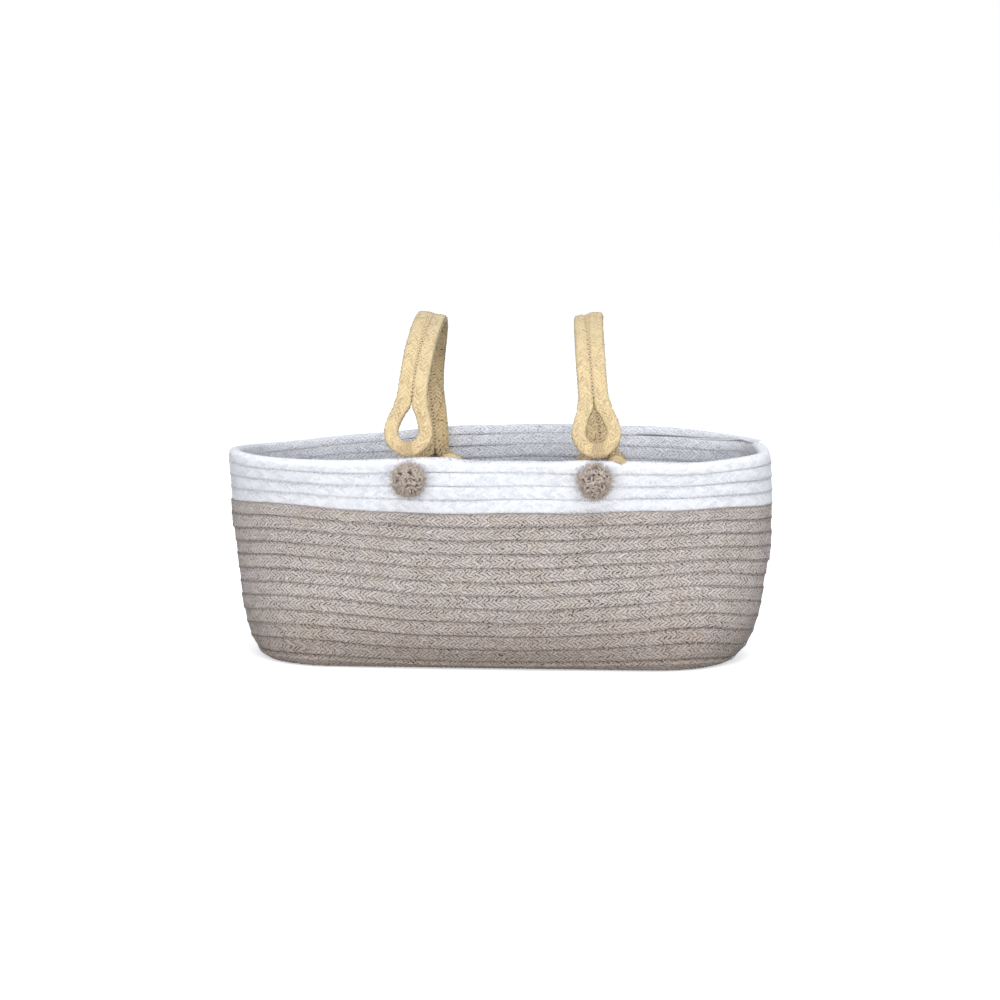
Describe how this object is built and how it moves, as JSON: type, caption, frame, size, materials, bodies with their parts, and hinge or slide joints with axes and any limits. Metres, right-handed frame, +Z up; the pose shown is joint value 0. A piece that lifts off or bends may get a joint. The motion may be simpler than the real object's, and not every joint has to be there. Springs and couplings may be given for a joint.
{
  "type": "fabric basket",
  "caption": "Long oval storage basket coiled from sewn cotton cord in a dark and a light band, with swinging cord handles across it and pom-poms on its front.",
  "frame": {"origin": "middle of the base's underside, on the cord's first straight run, where the basket stands", "axes": "+X to the right along the basket's length, +Y to its rear, +Z up"},
  "size_m": [0.403, 0.2149, 0.2569],
  "materials": {
    "beige_cotton": "braided matte",
    "white_cotton": "braided matte",
    "jute_cord": "braided matte",
    "jute_thread": "twisted matte",
    "wool_yarn": "fuzzy matte"
  },
  "bodies": {
    "basket": {"beige_cord": "beige_cotton", "white_cord": "white_cotton", "front_stitch_left_1": "jute_thread", "front_stitch_left_2": "jute_thread", "front_stitch_left_3": "jute_thread", "front_stitch_right_1": "jute_thread", "front_stitch_right_2": "jute_thread", "front_stitch_right_3": "jute_thread", "rear_stitch_left_1": "jute_thread", "rear_stitch_left_2": "jute_thread", "rear_stitch_left_3": "jute_thread", "rear_stitch_right_1": "jute_thread", "rear_stitch_right_2": "jute_thread", "rear_stitch_right_3": "jute_thread", "pompom_left": "wool_yarn", "pompom_right": "wool_yarn", "pompom_tie_left": "wool_yarn", "pompom_tie_right": "wool_yarn"},
    "handle_left": {"handle_left": "jute_cord"},
    "handle_right": {"handle_right": "jute_cord"}
  },
  "joints": [
    {"name": "handle_left_swing", "type": "hinge", "parent": "basket", "child": "handle_left", "pos_m": [-0.05628, -0.08358, 0.17461], "axis": [0.0131, 0.9575, -0.288], "range_deg": [-30, 20], "stiffness_Nm_per_rad": 0.07},
    {"name": "handle_right_swing", "type": "hinge", "parent": "basket", "child": "handle_right", "pos_m": [0.0762, -0.07983, 0.17396], "axis": [-0.0091, 0.9621, -0.2727], "range_deg": [-20, 30], "stiffness_Nm_per_rad": 0.07}
  ]
}
